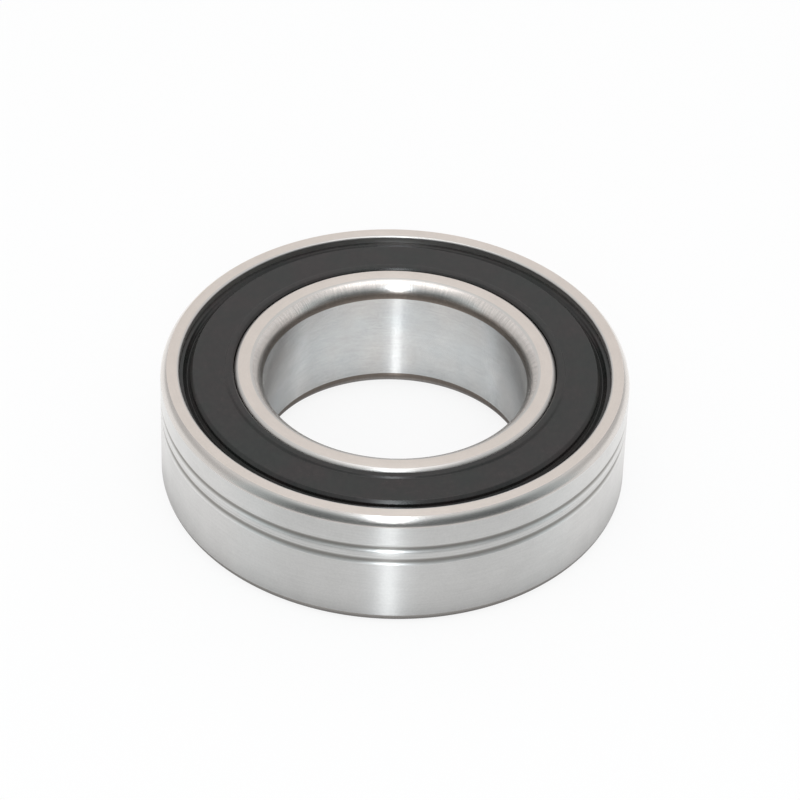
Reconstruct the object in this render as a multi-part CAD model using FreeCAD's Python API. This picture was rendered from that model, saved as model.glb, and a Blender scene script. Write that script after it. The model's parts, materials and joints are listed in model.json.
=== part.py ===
import FreeCAD, Part
import math
import os

# A sealed deep groove ball bearing, lying flat. Millimetres. The Z axis is the axis of rotation and
# the origin is the bearing's centre, so both end faces lie half a width from z = 0.
# The bearing is a two-ring, one-row bearing: an outer ring, an inner ring, a row of balls in a riveted
# ribbon cage, and on each side a rubber seal moulded on a steel insert and snapped into the outer ring.

# ---- boundary sizes
BORE_DIAMETER = 35.0
OUTSIDE_DIAMETER = 62.0
WIDTH = 17.5

# ---- balls and raceways
BALL_DIAMETER = 7.938            # 5/16 inch
BALL_COUNT = 11
RACEWAY_CONFORMITY = 0.52        # raceway radius divided by ball diameter
RACEWAY_DEPTH = 1.6              # from a ring's shoulder to the bottom of its raceway
BALL_CLEARANCE = 0.02            # between a ball and each raceway

# ---- ring corners: how far each one reaches along the face and along the axis
OUTER_CORNER = (0.8, 1.33)
OUTER_CORNER_RADIUS = 2.2        # a shallow arc, which leaves an edge at either end
BORE_CORNER = (1.7, 2.3)
LAND_CORNER = (0.5, 0.5)
LAND_CORNER_RADIUS = 1.2
EDGE_BREAK = 0.28
SHOULDER_BREAK = 0.15

# ---- marking grooves turned round the outside: how far below the upper face, and how wide
MARKING_GROOVES = ((6.93, 1.4), (4.83, 1.25))
MARKING_GROOVE_DEPTH = 0.25

# ---- seal seats in the rings
SEAT_DEPTH = 2.3                 # from the face down to the ledge that a seal rests on
SEAT_STEP = 1.92                 # the seal opening stands this far outside the outer ring's shoulder
SNAP_DEPTH = 1.25                # straight wall of the opening, above the undercut
SNAP_UNDERCUT = 0.4
LAND_STEP = 0.6                  # the land a seal lip runs round is this far inside the shoulder
LAND_DEPTH = 2.4

# ---- seals
SEAL_FIT = 0.05                  # between a seal's bead and the undercut that it snaps into
PAD_INSET = 0.4                  # from the shoulder out to the rubber pad that rests on the ledge
LIP_CLEARANCE = 0.1              # between a seal lip and the inner ring
SEAL_RECESS = 0.32               # the seal's flat front lies this far below the face
LIP_RISE = 0.27                  # the lip's flat front stands this far above the seal's, between two bevels
LIP_FRONT_WIDTH = 0.7
LIP_THICKNESS = 0.4              # height of the outer lip at its tip, and of the chamfers on the inner lip
LIP_NECK = 0.4                   # radial depth of the hollow between the two lips
BEAD_DEPTH = 1.0
BEAD_WIDTH = 0.75
BEAD_BEVEL = 0.25                # between the bead's flat top and the moat
MOAT_DEPTH = 1.5
MOAT_WIDTH = 0.7
MOAT_BOTTOM_RISE = 0.35          # from the bottom of the moat up to where its inner wall stands straight
MOAT_BEVEL = 0.42                # of the flat front, at the moat
INSERT_THICKNESS = 0.4
INSERT_LIFT = 0.2                # rubber under the insert, on the ledge
INSERT_INSET = 1.6               # from the lip to the insert's inner edge
INSERT_FLANGE = 0.8              # height of the flange at the insert's outer edge
INSERT_WRAP = 0.4                # how far the rubber reaches under the insert's inner edge
INSERT_COVER = 0.1               # rubber outside the insert's flange

# ---- cage and rivets
CAGE_SHEET = 0.8
CAGE_CLEARANCE = 0.48            # between the cage and either ring's shoulder
POCKET_CLEARANCE = 0.12
BEND_RADIUS = 0.3
RIVET_DIAMETER = 1.2
RIVET_CLEARANCE = 0.03
RIVET_HEAD_DIAMETER = 2.0
RIVET_HEAD_HEIGHT = 0.6

# ---- places that follow from the sizes
HALF_WIDTH = WIDTH / 2
BORE_RADIUS = BORE_DIAMETER / 2
OUTSIDE_RADIUS = OUTSIDE_DIAMETER / 2
BALL_RADIUS = BALL_DIAMETER / 2
PITCH_RADIUS = (BORE_RADIUS + OUTSIDE_RADIUS) / 2
RACEWAY_RADIUS = RACEWAY_CONFORMITY * BALL_DIAMETER
INNER_RACEWAY_BOTTOM = PITCH_RADIUS - BALL_RADIUS - BALL_CLEARANCE
OUTER_RACEWAY_BOTTOM = PITCH_RADIUS + BALL_RADIUS + BALL_CLEARANCE
INNER_SHOULDER = INNER_RACEWAY_BOTTOM + RACEWAY_DEPTH
OUTER_SHOULDER = OUTER_RACEWAY_BOTTOM - RACEWAY_DEPTH
LAND_RADIUS = INNER_SHOULDER - LAND_STEP
OPENING_RADIUS = OUTER_SHOULDER + SEAT_STEP
UNDERCUT_RADIUS = OPENING_RADIUS + SNAP_UNDERCUT
LIP_RADIUS = LAND_RADIUS + LIP_CLEARANCE

ORIGIN = FreeCAD.Vector(0, 0, 0)
UP = FreeCAD.Vector(0, 0, 1)


# ---- drawing tools

def setback_point(corner, neighbour, setback):
    """The point on the side towards `neighbour` where the rounding of `corner` starts."""
    side = neighbour - corner
    return corner + side.normalize() * setback


def tangent_radius(corner, start, finish):
    """The radius of the arc between a point on each side of a corner that is tangent to the longer side."""
    tangent_point, other_point = start, finish
    if finish.distanceToPoint(corner) > start.distanceToPoint(corner):
        tangent_point, other_point = finish, start
    chord = other_point - tangent_point
    return chord.Length ** 2 / (2 * other_point.distanceToLine(corner, corner - tangent_point))


def rounding(corner, start, finish, radius):
    """The arc of a radius that rounds a corner between a point on each of its sides."""
    chord = finish - start
    side = corner - start
    outward = (side - chord * (side.dot(chord) / chord.dot(chord))).normalize()
    rise = radius - math.sqrt(radius ** 2 - (chord.Length / 2) ** 2)
    return Part.Arc(start, (start + finish) * 0.5 + outward * rise, finish).toShape()


def turned(corners):
    """A solid turned round Z from a closed outline of corners (radius, height, before, after, arc).

    A corner with more than two numbers is rounded: the rounding starts `before` the corner, ends
    `after` it and has the radius `arc`. With no such radius it is tangent to the longer of the two.
    """
    points = [FreeCAD.Vector(corner[0], 0, corner[1]) for corner in corners]
    edges = []
    ends = []
    for index, corner in enumerate(corners):
        here = points[index]
        if len(corner) == 2:
            ends.append((here, here))
            continue
        start = setback_point(here, points[index - 1], corner[2])
        finish = setback_point(here, points[(index + 1) % len(points)], corner[3])
        radius = corner[4] if len(corner) == 5 else tangent_radius(here, start, finish)
        edges.append(rounding(here, start, finish, radius))
        ends.append((start, finish))
    for index, (start, _) in enumerate(ends):
        previous_finish = ends[index - 1][1]
        if previous_finish.distanceToPoint(start) > 1e-6:
            edges.append(Part.LineSegment(previous_finish, start).toShape())
    wire = Part.Wire(Part.__sortEdges__(edges))
    return Part.Face(wire).revolve(ORIGIN, UP, 360)


def both_sides(upper_half):
    """The whole outline of a ring, from the corners of its upper half."""
    lower_half = []
    for corner in reversed(upper_half):
        lower_half.append((corner[0], -corner[1], *reversed(corner[2:4]), *corner[4:]))
    return upper_half + lower_half


def tube(outer_radius, inner_radius, bottom, top):
    """A plain tube round Z."""
    base = FreeCAD.Vector(0, 0, bottom)
    outside = Part.makeCylinder(outer_radius, top - bottom, base)
    return outside.cut(Part.makeCylinder(inner_radius, top - bottom, base))


def mirrored(shape):
    """The same piece for the other side of the bearing."""
    return shape.mirror(ORIGIN, UP)


def around(shape, angle):
    """A copy of the shape turned round the bearing's axis by an angle in degrees."""
    copy = shape.copy()
    copy.rotate(ORIGIN, UP, angle)
    return copy


def ball_angles():
    """Where the balls lie round the axis, in degrees."""
    return [360 * index / BALL_COUNT for index in range(BALL_COUNT)]


def rivet_angles():
    """Where the rivets lie: halfway between the balls."""
    return [angle + 180 / BALL_COUNT for angle in ball_angles()]


# ---- rings

def outer_ring():
    """The outer ring: raceway and seal seats inside, two marking grooves outside."""
    along_face, along_axis = OUTER_CORNER
    ledge = HALF_WIDTH - SEAT_DEPTH
    upper_half = [
        (OUTSIDE_RADIUS, HALF_WIDTH, along_axis, along_face, OUTER_CORNER_RADIUS),
        (OPENING_RADIUS + EDGE_BREAK, HALF_WIDTH),
        (OPENING_RADIUS, HALF_WIDTH - EDGE_BREAK),
        (OPENING_RADIUS, HALF_WIDTH - SNAP_DEPTH),
        (UNDERCUT_RADIUS, HALF_WIDTH - SNAP_DEPTH - SNAP_UNDERCUT),
        (UNDERCUT_RADIUS, ledge),
        (OUTER_SHOULDER + SHOULDER_BREAK, ledge),
        (OUTER_SHOULDER, ledge - SHOULDER_BREAK),
    ]
    raceway = Part.makeTorus(OUTER_RACEWAY_BOTTOM - RACEWAY_RADIUS, RACEWAY_RADIUS)
    ring = turned(both_sides(upper_half)).cut(raceway)
    for depth, width in MARKING_GROOVES:
        ring = ring.cut(marking_groove(HALF_WIDTH - depth, width))
    return ring


def marking_groove(height, width):
    """What a round-nosed tool takes out of the outside for one groove: a ring of circular section."""
    section_radius = ((width / 2) ** 2 + MARKING_GROOVE_DEPTH ** 2) / (2 * MARKING_GROOVE_DEPTH)
    centre_radius = OUTSIDE_RADIUS - MARKING_GROOVE_DEPTH + section_radius
    return Part.makeTorus(centre_radius, section_radius, FreeCAD.Vector(0, 0, height))


def inner_ring():
    """The inner ring: raceway outside, a stepped-down land for each seal lip, rounded bore corners."""
    bore_along_face, bore_along_axis = BORE_CORNER
    land_along_face, land_along_axis = LAND_CORNER
    step = HALF_WIDTH - LAND_DEPTH
    upper_half = [
        (INNER_SHOULDER, step - SHOULDER_BREAK),
        (INNER_SHOULDER - SHOULDER_BREAK, step),
        (LAND_RADIUS, step),
        (LAND_RADIUS, HALF_WIDTH, land_along_axis, land_along_face, LAND_CORNER_RADIUS),
        (BORE_RADIUS, HALF_WIDTH, bore_along_face, bore_along_axis),
    ]
    raceway = Part.makeTorus(INNER_RACEWAY_BOTTOM + RACEWAY_RADIUS, RACEWAY_RADIUS)
    return turned(both_sides(upper_half)).cut(raceway)


# ---- seals

def seal_insert():
    """The pressed-steel stiffener of the upper seal: a washer with a flange round its outer edge."""
    bottom = HALF_WIDTH - SEAT_DEPTH + INSERT_LIFT
    outside = OPENING_RADIUS - SEAL_FIT - INSERT_COVER
    inside = LIP_RADIUS + INSERT_INSET
    sheet = INSERT_THICKNESS
    return turned([
        (inside, bottom),
        (outside - sheet, bottom),
        (outside, bottom + sheet),
        (outside, bottom + INSERT_FLANGE),
        (outside - sheet, bottom + INSERT_FLANGE),
        (outside - sheet, bottom + sheet),
        (inside, bottom + sheet),
    ])


def seal_rubber(insert):
    """The upper seal's moulding: two lips, a flat front, a V-shaped moat, and the bead that snaps in."""
    front = HALF_WIDTH - SEAL_RECESS
    ledge = HALF_WIDTH - SEAT_DEPTH
    back = ledge + INSERT_LIFT
    bead_top = HALF_WIDTH - BEAD_DEPTH
    bead_outside = UNDERCUT_RADIUS - SEAL_FIT
    neck_outside = OPENING_RADIUS - SEAL_FIT
    neck_bottom = HALF_WIDTH - SNAP_DEPTH - SEAL_FIT
    bead_inside = OPENING_RADIUS - BEAD_WIDTH
    moat_inside = bead_inside - MOAT_WIDTH
    moat_bottom = HALF_WIDTH - MOAT_DEPTH
    wrap_radius = LIP_RADIUS + INSERT_INSET + INSERT_WRAP
    neck_radius = LIP_RADIUS + LIP_NECK
    lip_height = front + LIP_RISE
    inner_lip_top = ledge + 2 * LIP_THICKNESS
    body = turned([
        (LIP_RADIUS, front),
        (LIP_RADIUS + LIP_RISE, lip_height),
        (LIP_RADIUS + LIP_RISE + LIP_FRONT_WIDTH, lip_height),
        (LIP_RADIUS + LIP_RISE + LIP_FRONT_WIDTH + LIP_RISE, front),
        (moat_inside - MOAT_BEVEL, front),
        (moat_inside, front - MOAT_BEVEL),
        (moat_inside, moat_bottom + MOAT_BOTTOM_RISE),
        (moat_inside + MOAT_WIDTH / 2, moat_bottom),
        (bead_inside, bead_top - BEAD_BEVEL),
        (bead_inside + BEAD_BEVEL, bead_top),
        (neck_outside, bead_top),
        (neck_outside, neck_bottom),
        (bead_outside, neck_bottom - SNAP_UNDERCUT),
        (bead_outside, ledge),
        (OUTER_SHOULDER + PAD_INSET, ledge),
        (OUTER_SHOULDER + PAD_INSET, back),
        (wrap_radius, back),
        (neck_radius, ledge),
        (LIP_RADIUS, ledge + LIP_THICKNESS),
        (neck_radius, inner_lip_top),
        (LIP_RADIUS, front - LIP_THICKNESS),
    ])
    return body.cut(insert)


# ---- balls, cage and rivets

def ball(angle):
    """One ball, in the raceways at the given angle round the axis."""
    return around(Part.makeSphere(BALL_RADIUS, FreeCAD.Vector(PITCH_RADIUS, 0, 0)), angle)


def round_edges(shape, radius, height):
    """The shape's circular edges of one radius at one height."""
    found = []
    for edge in shape.Edges:
        if edge.Degenerated or not isinstance(edge.Curve, Part.Circle):
            continue
        curve = edge.Curve
        if abs(curve.Radius - radius) < 1e-4 and abs(curve.Center.z - height) < 1e-4:
            found.append(edge)
    return found


def cage_half():
    """The upper half of the ribbon cage: a flat strip with a pocket pressed up over each ball."""
    pocket_radius = BALL_RADIUS + POCKET_CLEARANCE
    pressed_radius = pocket_radius + CAGE_SHEET
    blank = pressed_radius + 2 * BEND_RADIUS        # half the width of the strip before it is trimmed
    strip = tube(PITCH_RADIUS + blank, PITCH_RADIUS - blank, 0, CAGE_SHEET)
    centre = FreeCAD.Vector(PITCH_RADIUS, 0, 0)
    dome = Part.makeSphere(pressed_radius, centre, UP, 0, 90, 360)
    strip = strip.fuse([around(dome, angle) for angle in ball_angles()]).removeSplitter()
    root_radius = math.sqrt(pressed_radius ** 2 - CAGE_SHEET ** 2)
    strip = strip.makeFillet(BEND_RADIUS, round_edges(strip, root_radius, CAGE_SHEET))
    hollow = Part.makeSphere(pocket_radius, centre)
    strip = strip.cut([around(hollow, angle) for angle in ball_angles()])
    outer_edge = OUTER_SHOULDER - CAGE_CLEARANCE
    inner_edge = INNER_SHOULDER + CAGE_CLEARANCE
    strip = strip.common(tube(outer_edge, inner_edge, 0, pressed_radius + CAGE_SHEET))
    hole = Part.makeCylinder(RIVET_DIAMETER / 2 + RIVET_CLEARANCE, CAGE_SHEET, centre)
    return strip.cut([around(hole, angle) for angle in rivet_angles()])


def rivet_head():
    """A rivet's domed head, standing on the upper half of the cage."""
    head_radius = RIVET_HEAD_DIAMETER / 2
    sphere_radius = (head_radius ** 2 + RIVET_HEAD_HEIGHT ** 2) / (2 * RIVET_HEAD_HEIGHT)
    sunk = sphere_radius - RIVET_HEAD_HEIGHT
    centre = FreeCAD.Vector(PITCH_RADIUS, 0, CAGE_SHEET - sunk)
    latitude = math.degrees(math.asin(sunk / sphere_radius))
    return Part.makeSphere(sphere_radius, centre, UP, latitude, 90, 360)


def rivets():
    """All the rivets that hold the two halves of the cage together."""
    base = FreeCAD.Vector(PITCH_RADIUS, 0, -CAGE_SHEET)
    shank = Part.makeCylinder(RIVET_DIAMETER / 2, 2 * CAGE_SHEET, base)
    head = rivet_head()
    rivet = shank.fuse([head, mirrored(head)])
    return Part.makeCompound([around(rivet, angle) for angle in rivet_angles()])


# ---- assembly

def build():
    """Writes one STEP file for each piece, or for each group of the same fastener."""
    insert = seal_insert()
    rubber = seal_rubber(insert)
    upper_half_of_cage = cage_half()
    pieces = {
        "outer_ring": outer_ring(),
        "inner_ring": inner_ring(),
        "upper_seal_rubber": rubber,
        "upper_seal_insert": insert,
        "lower_seal_rubber": mirrored(rubber),
        "lower_seal_insert": mirrored(insert),
        "cage_upper_half": upper_half_of_cage,
        "cage_lower_half": mirrored(upper_half_of_cage),
        "cage_rivets": rivets(),
    }
    for number, angle in enumerate(ball_angles(), start=1):
        pieces[f"ball_{number:02d}"] = ball(angle)
    os.makedirs("parts", exist_ok=True)
    for name, shape in pieces.items():
        shape.exportStep(f"parts/{name}.step")


build()
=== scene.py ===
import json
import math

import bpy
from mathutils import Matrix, Vector


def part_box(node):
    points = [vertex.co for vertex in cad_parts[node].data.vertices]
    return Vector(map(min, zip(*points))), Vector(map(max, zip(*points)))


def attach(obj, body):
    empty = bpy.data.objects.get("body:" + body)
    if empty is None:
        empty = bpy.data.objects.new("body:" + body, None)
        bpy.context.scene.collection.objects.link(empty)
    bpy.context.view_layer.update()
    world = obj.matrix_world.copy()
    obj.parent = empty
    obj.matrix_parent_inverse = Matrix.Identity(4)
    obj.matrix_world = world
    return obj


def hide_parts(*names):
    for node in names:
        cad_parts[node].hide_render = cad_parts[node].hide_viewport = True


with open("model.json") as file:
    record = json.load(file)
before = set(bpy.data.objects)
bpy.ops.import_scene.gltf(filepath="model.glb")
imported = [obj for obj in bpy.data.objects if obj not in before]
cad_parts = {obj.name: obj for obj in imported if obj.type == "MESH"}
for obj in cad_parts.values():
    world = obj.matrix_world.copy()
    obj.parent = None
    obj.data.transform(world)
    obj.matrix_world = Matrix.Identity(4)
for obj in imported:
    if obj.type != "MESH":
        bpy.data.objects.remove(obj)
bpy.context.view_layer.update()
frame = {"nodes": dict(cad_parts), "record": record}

# A sealed deep groove ball bearing lying flat. Metres, in the frame of the CAD model: the Z axis is the
# axis of rotation, and the origin is the bearing's centre.

MM = 0.001

# ---- places taken from the frame
MOUNTS = {mount["name"]: mount for mount in frame["record"]["mounts"]}
HALF_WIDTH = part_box("outer_ring")[1].z
OUTSIDE_RADIUS = MOUNTS["outer_seat"]["dims"]["r_mm"] * MM
BORE_RADIUS = MOUNTS["bore"]["dims"]["r_mm"] * MM
UNDERCUT_FIT = 0.05 * MM
UNDERCUT_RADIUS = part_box("upper_seal_rubber")[1].x + UNDERCUT_FIT
LEDGE_DEPTH = HALF_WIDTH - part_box("upper_seal_rubber")[0].z
INNER_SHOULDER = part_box("inner_ring")[1].x
BALL_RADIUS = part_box("ball_01")[1].z
PITCH_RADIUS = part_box("ball_01")[1].x - BALL_RADIUS

# ---- ring sections
OUTER_CORNER = (0.8 * MM, 1.33 * MM)          # along the face, along the axis
OUTER_CORNER_RADIUS = 2.2 * MM
BORE_CORNER = (1.7 * MM, 2.3 * MM)
LAND_CORNER = (0.5 * MM, 0.5 * MM)
LAND_CORNER_RADIUS = 1.2 * MM
MARKING_GROOVES = ((6.93 * MM, 1.4 * MM), (4.83 * MM, 1.25 * MM))    # below the upper face, and wide
MARKING_GROOVE_DEPTH = 0.25 * MM
DIRT_AND_SHADE_DROP = 0.1 * MM                          # how far the darkening in a groove, dirt and painted shade, lies below its middle
SNAP_UNDERCUT = 0.4 * MM
SNAP_DEPTH = 1.25 * MM
EDGE_BREAK = 0.28 * MM
SHOULDER_BREAK = 0.15 * MM
LAND_STEP = 0.6 * MM
LAND_DEPTH = 2.4 * MM
RACEWAY_CONFORMITY = 0.52
RACEWAY_RADIUS = RACEWAY_CONFORMITY * 2 * BALL_RADIUS
RACEWAY_DEPTH = 1.6 * MM
BALL_CLEARANCE = 0.02 * MM
OPENING_RADIUS = UNDERCUT_RADIUS - SNAP_UNDERCUT
LAND_RADIUS = INNER_SHOULDER - LAND_STEP
OUTER_SHOULDER = PITCH_RADIUS + BALL_RADIUS + BALL_CLEARANCE - RACEWAY_DEPTH

# ---- seal section
SEAL_RECESS = 0.32 * MM
LIP_CLEARANCE = 0.1 * MM
LIP_RISE = 0.27 * MM
LIP_FRONT_WIDTH = 0.7 * MM
LIP_NECK = 0.4 * MM
BEAD_DEPTH = 1.0 * MM
BEAD_WIDTH = 0.75 * MM
BEAD_BEVEL = 0.25 * MM
MOAT_DEPTH = 1.5 * MM
MOAT_WIDTH = 0.7 * MM
MOAT_BOTTOM_RISE = 0.35 * MM
MOAT_BEVEL = 0.42 * MM
INSERT_LIFT = 0.2 * MM
WRAP_INSET = 2.0 * MM
SOFT_EDGE = (0.08 * MM, 0.08 * MM)            # rounding of a moulded edge, along either side

# ---- mesh fineness
TURNED_SEGMENTS = 360
ROUNDING_STEPS = 8
RACEWAY_STEPS = 16
GROOVE_STEPS = 10
SHARP_EDGE = math.radians(40)
FLATNESS = 0.001 * MM

# ---- the finishes of a ring, in the order of its materials
GROUND_FACE, GROUND_SEAT, TURNED_RECESS, RACEWAY, ROUNDED_CORNER, MARKING_GROOVE = range(6)


# ---- turned pieces

def setback_point(corner, neighbour, setback):
    """The point on the side towards `neighbour` where the rounding of `corner` starts."""
    return corner + (neighbour - corner).normalized() * setback


def tangent_radius(corner, start, finish):
    """The radius of the arc between a point on each side of a corner that is tangent to the longer side."""
    tangent_point, other_point = start, finish
    if (finish - corner).length > (start - corner).length:
        tangent_point, other_point = finish, start
    along_side = (corner - tangent_point).normalized()
    chord = other_point - tangent_point
    return chord.length_squared / (2 * (chord - along_side * chord.dot(along_side)).length)


def rounding(corner, start, finish, radius):
    """Points of the arc of a radius that rounds a corner between a point on each of its sides."""
    chord = finish - start
    side = corner - start
    outward = (side - chord * (side.dot(chord) / chord.dot(chord))).normalized()
    reach = math.asin(chord.length / 2 / radius)
    centre = (start + finish) / 2 - outward * radius * math.cos(reach)
    points = []
    for step in range(ROUNDING_STEPS + 1):
        angle = reach * (2 * step / ROUNDING_STEPS - 1)
        across = chord.normalized() * math.sin(angle) + outward * math.cos(angle)
        points.append(centre + across * radius)
    return points


def rounded_outline(corners):
    """Points (radius, height) of a closed outline, from corners (radius, height, before, after, arc)."""
    points = [Vector(corner[:2]) for corner in corners]
    outline = []
    for index, corner in enumerate(corners):
        here = points[index]
        if len(corner) == 2:
            outline.append(here)
            continue
        start = setback_point(here, points[index - 1], corner[2])
        finish = setback_point(here, points[(index + 1) % len(points)], corner[3])
        radius = corner[4] if len(corner) == 5 else tangent_radius(here, start, finish)
        outline += rounding(here, start, finish, radius)
    return outline


def turned_mesh(name, outline):
    """A closed mesh turned round Z from a closed outline of (radius, height) points."""
    count = len(outline)
    vertices = []
    for segment in range(TURNED_SEGMENTS):
        angle = 2 * math.pi * segment / TURNED_SEGMENTS
        for point in outline:
            vertices.append((point.x * math.cos(angle), point.x * math.sin(angle), point.y))
    faces = []
    for segment in range(TURNED_SEGMENTS):
        here = segment * count
        there = (segment + 1) % TURNED_SEGMENTS * count
        for index in range(count):
            following = (index + 1) % count
            faces.append((here + index, here + following, there + following, there + index))
    mesh = bpy.data.meshes.new(name)
    mesh.from_pydata(vertices, [], faces)
    mesh.polygons.foreach_set("use_smooth", [True] * len(faces))
    mesh.set_sharp_from_angle(angle=SHARP_EDGE)
    return mesh


def turned_piece(name, outline, node, body, materials, choose=None):
    """A turned piece that stands for a CAD node and moves with its body.

    With more than one material, `choose` gives each side of the section its material's number.
    """
    mesh = turned_mesh(name, outline)
    for material in materials:
        mesh.materials.append(material)
    if choose:
        numbers = []
        for index, point in enumerate(outline):
            numbers.append(choose(point, outline[(index + 1) % len(outline)]))
        mesh.polygons.foreach_set("material_index", numbers * TURNED_SEGMENTS)
    piece = bpy.data.objects.new(name, mesh)
    bpy.context.scene.collection.objects.link(piece)
    shading = piece.modifiers.new("flat sides shade flat", "WEIGHTED_NORMAL")
    shading.keep_sharp = True
    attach(piece, body)
    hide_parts(node)
    return piece


def both_sides(upper_half):
    """The whole outline of a ring, from the corners of its upper half."""
    lower_half = []
    for corner in reversed(upper_half):
        lower_half.append((corner[0], -corner[1], *reversed(corner[2:4]), *corner[4:]))
    return upper_half + lower_half


def raceway_arc(centre_radius, side):
    """Points of a raceway from its upper shoulder to its lower one; side is 1 outside, -1 inside."""
    reach = math.acos((RACEWAY_RADIUS - RACEWAY_DEPTH) / RACEWAY_RADIUS)
    points = []
    for step in range(RACEWAY_STEPS + 1):
        angle = reach * (1 - 2 * step / RACEWAY_STEPS)
        radius = centre_radius + side * RACEWAY_RADIUS * math.cos(angle)
        points.append((radius, RACEWAY_RADIUS * math.sin(angle)))
    return points


def groove_arc(height, width):
    """Points of a marking groove round the outside, from its lower edge to its upper one."""
    section = ((width / 2) ** 2 + MARKING_GROOVE_DEPTH ** 2) / (2 * MARKING_GROOVE_DEPTH)
    centre_radius = OUTSIDE_RADIUS - MARKING_GROOVE_DEPTH + section
    reach = math.asin(width / 2 / section)
    points = []
    for step in range(GROOVE_STEPS + 1):
        angle = reach * (2 * step / GROOVE_STEPS - 1)
        points.append((centre_radius - section * math.cos(angle), height + section * math.sin(angle)))
    return points


def outer_ring_outline():
    """The outer ring's section: seal seats and raceway inside, the marking grooves outside."""
    along_face, along_axis = OUTER_CORNER
    ledge = HALF_WIDTH - LEDGE_DEPTH
    upper_half = [
        (OUTSIDE_RADIUS, HALF_WIDTH, along_axis, along_face, OUTER_CORNER_RADIUS),
        (OPENING_RADIUS, HALF_WIDTH, EDGE_BREAK, EDGE_BREAK),
        (OPENING_RADIUS, HALF_WIDTH - SNAP_DEPTH),
        (UNDERCUT_RADIUS, HALF_WIDTH - SNAP_DEPTH - SNAP_UNDERCUT),
        (UNDERCUT_RADIUS, ledge),
        (OUTER_SHOULDER, ledge, SHOULDER_BREAK, SHOULDER_BREAK),
    ]
    corners = both_sides(upper_half)
    middle = len(upper_half)
    corners[middle:middle] = raceway_arc(PITCH_RADIUS + BALL_RADIUS + BALL_CLEARANCE - RACEWAY_RADIUS, 1)
    for depth, width in MARKING_GROOVES:
        corners += groove_arc(HALF_WIDTH - depth, width)
    return rounded_outline(corners)


def inner_ring_outline():
    """The inner ring's section: raceway and seal lands outside, the bore inside."""
    bore_along_face, bore_along_axis = BORE_CORNER
    land_along_face, land_along_axis = LAND_CORNER
    step = HALF_WIDTH - LAND_DEPTH
    upper_half = [
        (INNER_SHOULDER, step, SHOULDER_BREAK, SHOULDER_BREAK),
        (LAND_RADIUS, step),
        (LAND_RADIUS, HALF_WIDTH, land_along_axis, land_along_face, LAND_CORNER_RADIUS),
        (BORE_RADIUS, HALF_WIDTH, bore_along_face, bore_along_axis),
    ]
    raceway = raceway_arc(PITCH_RADIUS - BALL_RADIUS - BALL_CLEARANCE + RACEWAY_RADIUS, -1)
    return rounded_outline(both_sides(upper_half) + list(reversed(raceway)))


def ring_finish(point, following):
    """Which finish a side of a ring's section has."""

    def beside_seat(distance):
        for seat in (OUTSIDE_RADIUS, BORE_RADIUS):
            if max(abs(point.x - seat), abs(following.x - seat)) < distance:
                return True
        return False

    lowest = min(abs(point.y), abs(following.y))
    if lowest > HALF_WIDTH - FLATNESS:
        return GROUND_FACE
    if beside_seat(FLATNESS):
        return GROUND_SEAT
    if lowest > HALF_WIDTH - BORE_CORNER[1] - FLATNESS and beside_seat(BORE_CORNER[0]):
        return ROUNDED_CORNER
    if min(point.x, following.x) > OUTSIDE_RADIUS - MARKING_GROOVE_DEPTH - FLATNESS:
        return MARKING_GROOVE
    half_width = math.sqrt(2 * RACEWAY_RADIUS * RACEWAY_DEPTH)
    between_shoulders = max(abs(point.y), abs(following.y)) < half_width and point.x != following.x
    inner_bottom = INNER_SHOULDER - RACEWAY_DEPTH - FLATNESS
    in_raceway = between_shoulders and inner_bottom < point.x < OUTSIDE_RADIUS - RACEWAY_DEPTH
    return RACEWAY if in_raceway else TURNED_RECESS


def seal_outline(side):
    """A seal moulding's section; side is 1 for the upper seal and -1 for the lower one."""
    front = HALF_WIDTH - SEAL_RECESS
    ledge = HALF_WIDTH - LEDGE_DEPTH
    back = ledge + INSERT_LIFT
    bead_outside = UNDERCUT_RADIUS - UNDERCUT_FIT
    neck_outside = OPENING_RADIUS - UNDERCUT_FIT
    neck_bottom = HALF_WIDTH - SNAP_DEPTH - UNDERCUT_FIT
    bead_inside = OPENING_RADIUS - BEAD_WIDTH
    moat_inside = bead_inside - MOAT_WIDTH
    lip_radius = LAND_RADIUS + LIP_CLEARANCE
    lip_height = front + LIP_RISE
    neck_radius = lip_radius + LIP_NECK
    corners = [
        (lip_radius, front) + SOFT_EDGE,
        (lip_radius + LIP_RISE, lip_height) + SOFT_EDGE,
        (lip_radius + LIP_RISE + LIP_FRONT_WIDTH, lip_height) + SOFT_EDGE,
        (lip_radius + LIP_RISE + LIP_FRONT_WIDTH + LIP_RISE, front) + SOFT_EDGE,
        (moat_inside - MOAT_BEVEL, front) + SOFT_EDGE,
        (moat_inside, front - MOAT_BEVEL) + SOFT_EDGE,
        (moat_inside, HALF_WIDTH - MOAT_DEPTH + MOAT_BOTTOM_RISE) + SOFT_EDGE,
        (moat_inside + MOAT_WIDTH / 2, HALF_WIDTH - MOAT_DEPTH) + SOFT_EDGE,
        (bead_inside, HALF_WIDTH - BEAD_DEPTH - BEAD_BEVEL) + SOFT_EDGE,
        (bead_inside + BEAD_BEVEL, HALF_WIDTH - BEAD_DEPTH) + SOFT_EDGE,
        (neck_outside, HALF_WIDTH - BEAD_DEPTH),
        (neck_outside, neck_bottom),
        (bead_outside, neck_bottom - SNAP_UNDERCUT),
        (bead_outside, ledge) + SOFT_EDGE,
        (OUTER_SHOULDER + LIP_NECK, ledge),
        (OUTER_SHOULDER + LIP_NECK, back),
        (lip_radius + WRAP_INSET, back),
        (neck_radius, ledge) + SOFT_EDGE,
        (lip_radius, ledge + LIP_NECK) + SOFT_EDGE,
        (neck_radius, ledge + 2 * LIP_NECK) + SOFT_EDGE,
        (lip_radius, front - LIP_NECK) + SOFT_EDGE,
    ]
    outline = rounded_outline(corners)
    if side < 0:
        outline = [Vector((point.x, -point.y)) for point in reversed(outline)]
    return outline


# ---- materials

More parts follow.
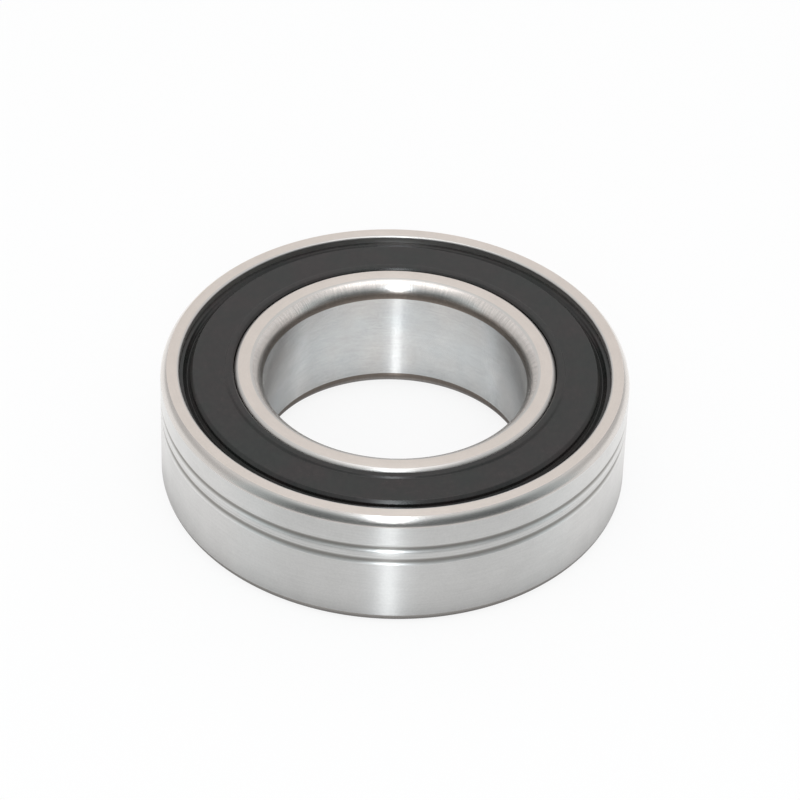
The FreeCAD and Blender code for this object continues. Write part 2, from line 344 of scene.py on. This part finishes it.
FULL_ANISOTROPY = 0.9                # what an anisotropy of 1 takes off the scatter along the lines
QUARTER_TURN = 0.25                  # turns the highlight's stretch from along the lines to across them
LINE_DEPTH = 0.01 * MM
PIT_SHADE = (0.36, 0.34, 0.32)
# painted shade on the bore corner's lower part
PAINTED_CORNER_SHADE = (0.4, 0.36, 0.33)
# dirt and painted shade along the lower middle of the marking grooves
GROOVE_DIRT_AND_SHADE = (0.36, 0.35, 0.335)
BLACK_RUBBER = (0.013, 0.012, 0.012)


def new_material(name, base, metallic, roughness):
    """A material with its Principled shader's plain values set; returns its node tree and that shader."""
    material = bpy.data.materials.new(name)
    material.use_nodes = True
    shader = material.node_tree.nodes["Principled BSDF"]
    shader.inputs["Base Color"].default_value = (*base, 1)
    shader.inputs["Metallic"].default_value = metallic
    shader.inputs["Roughness"].default_value = roughness
    return material, material.node_tree, shader


def object_place(tree):
    """A point's place on the object it belongs to, in metres."""
    return tree.nodes.new("ShaderNodeTexCoord").outputs["Object"]


def object_axes(tree):
    """The three coordinates of a point's place."""
    split = tree.nodes.new("ShaderNodeSeparateXYZ")
    tree.links.new(object_place(tree), split.inputs[0])
    return split.outputs


def math_node(tree, operation, first, second=None):
    """One Math node; a value is either a socket or a number."""
    node = tree.nodes.new("ShaderNodeMath")
    node.operation = operation
    for slot_index, value in enumerate((first, second)):
        if value is None:
            continue
        if isinstance(value, (int, float)):
            node.inputs[slot_index].default_value = value
        else:
            tree.links.new(value, node.inputs[slot_index])
    return node.outputs[0]


def cylinder_coordinates(tree, around, lengthwise):
    """A vector that runs round the bearing's axis at one scale, and outward and along it at another."""
    x, y, z = object_axes(tree)
    squares = math_node(tree, "ADD", math_node(tree, "MULTIPLY", x, x), math_node(tree, "MULTIPLY", y, y))
    distance = math_node(tree, "SQRT", squares)
    join = tree.nodes.new("ShaderNodeCombineXYZ")
    # the direction as a unit vector has no seam, unlike an angle
    for index, coordinate in enumerate((x, y)):
        direction = math_node(tree, "DIVIDE", coordinate, distance)
        tree.links.new(math_node(tree, "MULTIPLY", direction, around), join.inputs[index])
    lift = math_node(tree, "ADD", math_node(tree, "MULTIPLY", distance, lengthwise),
                     math_node(tree, "MULTIPLY", z, lengthwise))
    tree.links.new(lift, join.inputs[2])
    return join.outputs[0]


def noise(tree, vector, scale, detail, roughness=0.5):
    """A cloudy pattern from 0 to 1."""
    node = tree.nodes.new("ShaderNodeTexNoise")
    node.inputs["Scale"].default_value = scale
    node.inputs["Detail"].default_value = detail
    node.inputs["Roughness"].default_value = roughness
    tree.links.new(vector, node.inputs["Vector"])
    return node.outputs["Fac"]


def map_range(tree, value, low, high, start=0, end=1):
    """Maps a value that runs from `start` to `end` onto `low` to `high`."""
    node = tree.nodes.new("ShaderNodeMapRange")
    node.inputs["From Min"].default_value = start
    node.inputs["From Max"].default_value = end
    node.inputs["To Min"].default_value = low
    node.inputs["To Max"].default_value = high
    tree.links.new(value, node.inputs["Value"])
    return node.outputs[0]


def color_mix(tree, factor, first, second):
    """A mix of two colours: the first where the factor is 0, and the second where it is 1."""
    node = tree.nodes.new("ShaderNodeMix")
    node.data_type = "RGBA"
    node.inputs[6].default_value = (*first, 1)
    node.inputs[7].default_value = (*second, 1)
    tree.links.new(factor, node.inputs[0])
    return node.outputs[2]


def bump(tree, height, strength, distance):
    """Normals as if the surface rose by `distance` where the height is 1."""
    node = tree.nodes.new("ShaderNodeBump")
    node.inputs["Strength"].default_value = strength
    node.inputs["Distance"].default_value = distance
    tree.links.new(height, node.inputs["Height"])
    return node.outputs[0]


def machined_steel(name, base, across, along, line_bump, mottling=0.03):
    """Steel turned or ground round its axis: fine lines round it and a highlight stretched across them.

    `across` and `along` are how far the surface scatters across its lines and along them, and
    `mottling` is how far its colour strays from the plain one. The Principled shader takes the two as
    a roughness and an anisotropy, and stretches the highlight along the tangent unless it is turned.
    """
    roughness = (across * along) ** 0.25
    material, tree, shader = new_material(name, base, 1.0, roughness)
    shader.inputs["Anisotropic"].default_value = (1 - along / across) / FULL_ANISOTROPY
    shader.inputs["Anisotropic Rotation"].default_value = QUARTER_TURN
    tangent = tree.nodes.new("ShaderNodeTangent")
    tangent.direction_type = "RADIAL"
    tangent.axis = "Z"
    tree.links.new(tangent.outputs[0], shader.inputs["Tangent"])
    place = object_place(tree)
    lines = noise(tree, cylinder_coordinates(tree, 6, 4000), scale=1, detail=3)
    speckle = noise(tree, place, scale=3500, detail=2)
    patches = noise(tree, place, scale=330, detail=3)
    tone = math_node(tree, "MULTIPLY", lines, 0.3)
    for pattern in (speckle, patches):
        tone = math_node(tree, "ADD", tone, math_node(tree, "MULTIPLY", pattern, 0.35))
    contrast = map_range(tree, tone, 0, 1, start=0.3, end=0.7)
    dark = tuple(channel * (1 - mottling) for channel in base)
    light = tuple(min(channel * (1 + mottling), 1) for channel in base)
    tree.links.new(color_mix(tree, contrast, dark, light), shader.inputs["Base Color"])
    tree.links.new(map_range(tree, tone, roughness * 0.9, roughness * 1.1), shader.inputs["Roughness"])
    tree.links.new(bump(tree, lines, line_bump, LINE_DEPTH), shader.inputs["Normal"])
    return material


def multiply_color(material, factor, first, second):
    """Multiplies a material's base colour by a mix of two colours."""
    tree = material.node_tree
    base = tree.nodes["Principled BSDF"].inputs["Base Color"]
    product = tree.nodes.new("ShaderNodeMix")
    product.data_type = "RGBA"
    product.blend_type = "MULTIPLY"
    product.inputs[0].default_value = 1
    tree.links.new(base.links[0].from_socket, product.inputs[6])
    tree.links.new(color_mix(tree, factor, first, second), product.inputs[7])
    tree.links.new(product.outputs[2], base)


def add_honing_marks(material):
    """Cool and warm clouds, and a few small pits drawn out round the bore."""
    tree = material.node_tree
    clouds = noise(tree, object_place(tree), scale=110, detail=3)
    cool, warm = (0.96, 0.985, 1.0), (1.02, 1.0, 0.985)
    multiply_color(material, map_range(tree, clouds, 0, 1, start=0.35, end=0.65), cool, warm)
    cells = tree.nodes.new("ShaderNodeTexVoronoi")
    cells.inputs["Scale"].default_value = 1.0
    tree.links.new(cylinder_coordinates(tree, 3, 250), cells.inputs["Vector"])
    pit = map_range(tree, cells.outputs["Distance"], 1, 0, start=0.03, end=0.1)
    chance = tree.nodes.new("ShaderNodeSeparateColor")
    tree.links.new(cells.outputs["Color"], chance.inputs[0])
    chosen = math_node(tree, "GREATER_THAN", chance.outputs[0], 0.75)
    multiply_color(material, math_node(tree, "MULTIPLY", pit, chosen), (1, 1, 1), PIT_SHADE)


def add_tool_chatter(material):
    """Short fine streaks across the turning lines, which break up the highlight."""
    tree = material.node_tree
    streaks = noise(tree, cylinder_coordinates(tree, 110, 350), scale=1, detail=2)
    dull, bright = (0.86, 0.87, 0.88), (1.06, 1.05, 1.05)
    multiply_color(material, map_range(tree, streaks, 0, 1, start=0.3, end=0.7), dull, bright)
    normal = tree.nodes["Principled BSDF"].inputs["Normal"]
    tree.links.new(bump(tree, streaks, 0.25, 2 * LINE_DEPTH), normal)


def paint_shade_towards_seat(material):
    """Painted shade: the corner's lower part above the honed bore turns dark brown."""
    tree = material.node_tree
    height = math_node(tree, "ABSOLUTE", object_axes(tree)[2])
    shade_top, unshaded_bottom = [HALF_WIDTH - share * BORE_CORNER[1] for share in (0.7, 0.42)]
    bright = map_range(tree, height, 0, 1, start=shade_top, end=unshaded_bottom)
    multiply_color(material, bright, PAINTED_CORNER_SHADE, (1, 1, 1))


def darken_groove_bottom(material):
    """Darkens the lower middle of each marking groove: partly dirt, partly painted shade in the hollow."""
    tree = material.node_tree
    height = object_axes(tree)[2]
    for depth, width in MARKING_GROOVES:
        line = HALF_WIDTH - depth - DIRT_AND_SHADE_DROP
        distance = math_node(tree, "ABSOLUTE", math_node(tree, "SUBTRACT", height, line))
        clean = map_range(tree, distance, 0, 1, start=0.1 * width, end=0.36 * width)
        multiply_color(material, clean, GROOVE_DIRT_AND_SHADE, (1, 1, 1))


def moulded_rubber(name):
    """Black nitrile rubber: satin, with a fine even grain, faint brown and green clouds and some dust."""
    material, tree, shader = new_material(name, BLACK_RUBBER, 0.0, 0.22)
    shader.inputs["Specular IOR Level"].default_value = 0.38
    place = object_place(tree)
    grain = noise(tree, place, scale=9000, detail=3)
    clouds = noise(tree, place, scale=180, detail=4, roughness=0.6)
    dust = noise(tree, place, scale=1500, detail=3, roughness=0.6)
    brownish, greenish = (0.015, 0.0115, 0.0115), (0.0095, 0.0115, 0.0105)
    tone = color_mix(tree, map_range(tree, clouds, 0, 1, start=0.35, end=0.65), brownish, greenish)
    tree.links.new(tone, shader.inputs["Base Color"])
    clean, dusty = (0.9, 0.9, 0.9), (1.5, 1.45, 1.4)
    multiply_color(material, map_range(tree, dust, 0, 1, start=0.4, end=0.75), clean, dusty)
    tree.links.new(map_range(tree, grain, 0.17, 0.25), shader.inputs["Roughness"])
    tree.links.new(bump(tree, grain, 0.25, LINE_DEPTH), shader.inputs["Normal"])
    return material


def plain_steel(name, base, roughness, grain_scale):
    """Steel with no grinding direction, as on pressed, tumbled or lapped pieces."""
    material, tree, shader = new_material(name, base, 1.0, roughness)
    grain = noise(tree, object_place(tree), grain_scale, detail=4)
    dark = tuple(channel * 0.92 for channel in base)
    light = tuple(min(channel * 1.06, 1) for channel in base)
    tree.links.new(color_mix(tree, grain, dark, light), shader.inputs["Base Color"])
    tree.links.new(map_range(tree, grain, roughness * 0.8, roughness * 1.2), shader.inputs["Roughness"])
    tree.links.new(bump(tree, grain, 0.15, 2 * LINE_DEPTH), shader.inputs["Normal"])
    return material


# ---- the object

def make_object():
    """Turned rings and seal mouldings, and finishes for the pieces that keep the CAD's own shape."""
    ground_face = machined_steel("ground_face_steel", (0.665, 0.605, 0.56),
                                 across=0.22, along=0.12, line_bump=0.3, mottling=0.055)
    ground_outside = machined_steel("ground_outside_steel", (0.66, 0.655, 0.645),
                                    across=0.3, along=0.03, line_bump=0.4, mottling=0.09)
    # the groove's steel is lighter than the outside's: painted light on the groove's walls
    marking_groove = machined_steel("marking_groove_steel", (0.8, 0.795, 0.785),
                                    across=0.3, along=0.04, line_bump=0.3)
    # dirt and painted shade along each groove's lower middle
    darken_groove_bottom(marking_groove)
    honed_bore = machined_steel("honed_bore_steel", (0.69, 0.69, 0.685),
                                across=0.2, along=0.02, line_bump=0.4, mottling=0.12)
    add_honing_marks(honed_bore)
    turned_recess = machined_steel("turned_recess_steel", (0.56, 0.54, 0.52),
                                   across=0.2, along=0.1, line_bump=0.3)
    outer_corner = machined_steel("outer_corner_steel", (0.57, 0.54, 0.515),
                                  across=0.08, along=0.06, line_bump=0.3)
    bore_corner = machined_steel("bore_corner_steel", (0.63, 0.595, 0.565),
                                 across=0.12, along=0.04, line_bump=0.35, mottling=0.08)
    add_tool_chatter(bore_corner)
    # painted shade on the bore corner's lower part
    paint_shade_towards_seat(bore_corner)
    raceway = machined_steel("raceway_steel", (0.68, 0.68, 0.67), across=0.12, along=0.08, line_bump=0.1)
    rubber = moulded_rubber("seal_rubber")
    outer_finishes = (ground_face, ground_outside, turned_recess, raceway, outer_corner, marking_groove)
    inner_finishes = (ground_face, honed_bore, turned_recess, raceway, bore_corner)
    turned_piece("outer_ring_turned", outer_ring_outline(), "outer_ring", "outer",
                 outer_finishes, ring_finish)
    turned_piece("inner_ring_turned", inner_ring_outline(), "inner_ring", "inner",
                 inner_finishes, ring_finish)
    for name, side in (("upper", 1), ("lower", -1)):
        turned_piece(f"{name}_seal_moulding", seal_outline(side), f"{name}_seal_rubber", "outer",
                     (rubber,))
    finishes = {
        "insert_steel": plain_steel("insert_steel", (0.42, 0.42, 0.43), 0.45, 900.0),
        "cage_steel": plain_steel("cage_steel", (0.55, 0.54, 0.52), 0.32, 1200.0),
        "rivet_steel": plain_steel("rivet_steel", (0.56, 0.55, 0.53), 0.28, 2000.0),
        "ball_steel": plain_steel("ball_steel", (0.72, 0.72, 0.72), 0.05, 3000.0),
    }
    for subpart in frame["record"]["subparts"]:
        finish = finishes.get(subpart["material_slot"])
        if finish:
            node = frame["nodes"][subpart["node"]]
            node.data.materials.clear()
            node.data.materials.append(finish)


# ---- stage, light and camera

CAMERA_ELEVATION = math.radians(39.21)
CAMERA_ROLL = math.radians(1.88)
CAMERA_DISTANCE = 517.7 * MM         # from the centre of the upper face, along the line of sight
CAMERA_OFFSET = (0.61 * MM, -4.44 * MM)   # right and up of that centre
CAMERA_LENS = 176.5
CAMERA_SENSOR = 36
CLIP_START, CLIP_END = 0.01, 20
WORLD_LIGHT = 0.8
FLOOR_HEIGHT = -HALF_WIDTH
FLOOR_SIZE = 3.0                     # from the middle to each side
FLOOR_GREY = (0.86, 0.86, 0.86)
FLOOR_GLOW = 0.85
FLOOR_GLOSS = (0.14, 0.06)           # how much of a light the floor mirrors into the bore, and outside
FLOOR_GLOSS_ROUGHNESS = 0.08
SHADE_RADIUS = 50 * MM               # how far out the bearing's own shade on the floor shows in its metal
SHADE_STOPS = (                      # distance from the axis, and how light the floor is there
    (0, 0.8),
    (0.6 * BORE_RADIUS, 0.72),
    (BORE_RADIUS, 0.2),
    (OUTSIDE_RADIUS, 0.25),
    (OUTSIDE_RADIUS + 3 * MM, 0.75),
    (OUTSIDE_RADIUS + 9 * MM, 0.95),
    (SHADE_RADIUS, 1),
)
FRONT_OF_FLOOR = (-50 * MM, 0.94)    # how far forward, and how strongly the metal shows the floor there
BACK_OF_FLOOR = (15 * MM, 1.24)
SCREEN_LIFT = 0.02 * MM              # the screens' lower edges lie this far above the floor
SCREEN_STEP = 6                      # degrees between a screen's upright edges
# each point of a screen's profile: radius, height above the floor, glow
FRONT_SCREEN = ((0.1, 0.0, 0.18), (1.0, 0.0, 0.18), (1.0, 0.46, 0.18), (1.0, 0.7, 0.45), (1.0, 1.0, 0.85))
ROOM_SCREEN = ((1.4, 0.0, 0.74), (1.4, 0.7, 0.74))


def add_camera():
    """The camera stands in front, a little above 39 degrees up, and is rolled slightly."""
    back = Vector((0, -math.cos(CAMERA_ELEVATION), math.sin(CAMERA_ELEVATION)))
    level = Vector((1, 0, 0))
    upright = back.cross(level)
    right = math.cos(CAMERA_ROLL) * level + math.sin(CAMERA_ROLL) * upright
    up = math.cos(CAMERA_ROLL) * upright - math.sin(CAMERA_ROLL) * level
    place = Vector((0, 0, HALF_WIDTH)) + back * CAMERA_DISTANCE
    place += right * CAMERA_OFFSET[0] + up * CAMERA_OFFSET[1]
    camera = bpy.data.objects.new("camera", bpy.data.cameras.new("camera"))
    turn = Matrix((right, up, back)).transposed().to_4x4()
    camera.matrix_world = Matrix.Translation(place) @ turn
    camera.data.lens = CAMERA_LENS
    camera.data.sensor_width = CAMERA_SENSOR
    camera.data.clip_start = CLIP_START
    camera.data.clip_end = CLIP_END
    bpy.context.scene.collection.objects.link(camera)
    bpy.context.scene.camera = camera


def add_area_light(name, place, width, height, power, color=(1, 1, 1), shape="RECTANGLE"):
    """A soft light aimed at the bearing."""
    lamp = bpy.data.lights.new(name, "AREA")
    lamp.shape = shape
    lamp.size = width
    lamp.size_y = height
    lamp.energy = power
    lamp.color = color
    light = bpy.data.objects.new(name, lamp)
    light.location = place
    light.rotation_mode = "QUATERNION"
    light.rotation_quaternion = Vector(place).to_track_quat("Z", "Y")
    bpy.context.scene.collection.objects.link(light)


def seen_by(tree):
    """Two switches: 1 where the camera looks straight at a surface, and 1 where metal or glass shows it."""
    ray = tree.nodes.new("ShaderNodeLightPath").outputs
    mirrored = math_node(tree, "MAXIMUM", ray["Is Glossy Ray"], ray["Is Transmission Ray"])
    return ray["Is Camera Ray"], mirrored


def add_world():
    """A white room: its plain colour is what the camera and the metal see."""
    world = bpy.data.worlds.new("world")
    world.use_nodes = True
    bpy.context.scene.world = world
    tree = world.node_tree
    background = tree.nodes["Background"]
    background.inputs["Color"].default_value = (1, 1, 1, 1)
    in_view, mirrored = seen_by(tree)
    seen = math_node(tree, "MAXIMUM", in_view, mirrored)
    tree.links.new(map_range(tree, seen, WORLD_LIGHT, 1.0), background.inputs["Strength"])


def mix_shaders(tree, factor, first, second):
    """A mix of two shaders: the first where the factor is 0, and the second where it is 1."""
    blend = tree.nodes.new("ShaderNodeMixShader")
    tree.links.new(factor, blend.inputs[0])
    tree.links.new(first.outputs[0], blend.inputs[1])
    tree.links.new(second.outputs[0], blend.inputs[2])
    return blend


def floor_distance(tree):
    """How far a point of the floor is from the bearing's axis."""
    distance = tree.nodes.new("ShaderNodeVectorMath")
    distance.operation = "LENGTH"
    tree.links.new(object_place(tree), distance.inputs[0])
    return distance.outputs["Value"]


def floor_shade(tree):
    """The floor as the metal shows it: grey in the bore, dark where the bearing stands, white around it."""
    share = math_node(tree, "DIVIDE", floor_distance(tree), SHADE_RADIUS)
    ramp = tree.nodes.new("ShaderNodeValToRGB")
    tree.links.new(share, ramp.inputs[0])
    for radius, _ in SHADE_STOPS[1:-1]:
        ramp.color_ramp.elements.new(radius / SHADE_RADIUS)
    for element, (radius, tone) in zip(ramp.color_ramp.elements, SHADE_STOPS):
        element.position = radius / SHADE_RADIUS
        element.color = (tone, tone, tone, 1)
    return ramp.outputs[0]


def add_floor():
    """A wide pale floor that the camera sees as white, with a faint shadow."""
    side = FLOOR_SIZE
    corners = [(-side, -side, 0), (side, -side, 0), (side, side, 0), (-side, side, 0)]
    mesh = bpy.data.meshes.new("floor")
    mesh.from_pydata(corners, [], [(0, 1, 2, 3)])
    floor = bpy.data.objects.new("floor", mesh)
    floor.location.z = FLOOR_HEIGHT - SCREEN_LIFT
    bpy.context.scene.collection.objects.link(floor)
    material, tree, shader = new_material("floor_white", FLOOR_GREY, 0.0, 0.9)
    in_view, mirrored = seen_by(tree)
    white = tree.nodes.new("ShaderNodeEmission")
    plain = mix_shaders(tree, math_node(tree, "MULTIPLY", in_view, FLOOR_GLOW), shader, white)
    shade = tree.nodes.new("ShaderNodeEmission")
    tree.links.new(floor_shade(tree), shade.inputs["Color"])
    (front, front_strength), (back, back_strength) = FRONT_OF_FLOOR, BACK_OF_FLOOR
    strength = map_range(tree, object_axes(tree)[1], front_strength, back_strength, front, back)
    tree.links.new(strength, shade.inputs["Strength"])
    gloss = tree.nodes.new("ShaderNodeBsdfGlossy")
    gloss_color = map_range(tree, floor_distance(tree), *FLOOR_GLOSS, BORE_RADIUS, OUTSIDE_RADIUS)
    tree.links.new(gloss_color, gloss.inputs["Color"])
    gloss.inputs["Roughness"].default_value = FLOOR_GLOSS_ROUGHNESS
    glossy_shade = tree.nodes.new("ShaderNodeAddShader")
    tree.links.new(shade.outputs[0], glossy_shade.inputs[0])
    tree.links.new(gloss.outputs[0], glossy_shade.inputs[1])
    blend = mix_shaders(tree, mirrored, plain, glossy_shade)
    tree.links.new(blend.outputs[0], tree.nodes["Material Output"].inputs["Surface"])
    mesh.materials.append(material)


def add_screen(name, azimuths, profile, edge_glow, fade, color=(1, 1, 1)):
    """A bent studio screen that only the metal and the rubber show.

    It runs between two azimuths, its profile is a line of (radius, height above the floor, glow), and
    it fades to `edge_glow` over `fade` degrees at either end.
    """
    first, last = azimuths
    steps = round((last - first) / SCREEN_STEP)
    rows = len(profile)
    vertices = []
    glows = []
    for step in range(steps + 1):
        turned = (last - first) * step / steps
        azimuth = math.radians(first + turned)
        depth = min(1, min(turned, last - first - turned) / fade)
        outward = Vector((math.sin(azimuth), -math.cos(azimuth), 0))
        for radius, height, glow in profile:
            vertices.append(outward * radius + Vector((0, 0, FLOOR_HEIGHT + height)))
            glows.append(edge_glow + (glow - edge_glow) * depth)
    faces = []
    for step in range(steps):
        for row in range(rows - 1):
            corner = step * rows + row
            faces.append((corner, corner + rows, corner + rows + 1, corner + 1))
    mesh = bpy.data.meshes.new(name)
    mesh.from_pydata(vertices, [], faces)
    mesh.attributes.new("glow", "FLOAT", "POINT").data.foreach_set("value", glows)
    screen = bpy.data.objects.new(name, mesh)
    bpy.context.scene.collection.objects.link(screen)
    screen.visible_camera = False
    screen.visible_diffuse = False
    screen.visible_shadow = False
    material = bpy.data.materials.new(name)
    material.use_nodes = True
    tree = material.node_tree
    tree.nodes.clear()
    glow = tree.nodes.new("ShaderNodeAttribute")
    glow.attribute_name = "glow"
    light = tree.nodes.new("ShaderNodeEmission")
    light.inputs["Color"].default_value = (*color, 1)
    tree.links.new(glow.outputs["Fac"], light.inputs["Strength"])
    surface = tree.nodes.new("ShaderNodeOutputMaterial").inputs["Surface"]
    tree.links.new(light.outputs[0], surface)
    mesh.materials.append(material)


def polar(azimuth, elevation, distance):
    """A place seen from the bearing: azimuth 0 is in front, and positive to the right."""
    azimuth, elevation = math.radians(azimuth), math.radians(elevation)
    level = math.cos(elevation) * distance
    return (math.sin(azimuth) * level, -math.cos(azimuth) * level, math.sin(elevation) * distance)


make_object()
add_world()
add_floor()
add_area_light("overhead", (0, -0.08, 0.9), width=0.75, height=0.55, power=1.6)
add_area_light("key", polar(0, 36, 0.8), width=0.085, height=0.56, power=1.2, color=(0.94, 0.98, 1.0))
add_area_light("key_halo", polar(0, 40, 0.85), width=0.27, height=0.56, power=0.6,
               color=(0.8, 0.9, 1.0), shape="ELLIPSE")
add_screen("front_screen", (-70, 84), FRONT_SCREEN, edge_glow=0.85, fade=30, color=(0.9, 1.0, 1.03))
add_screen("room_screen", (78, 294), ROOM_SCREEN, edge_glow=0.74, fade=30)
add_camera()
bpy.context.scene.view_settings.view_transform = "Standard"
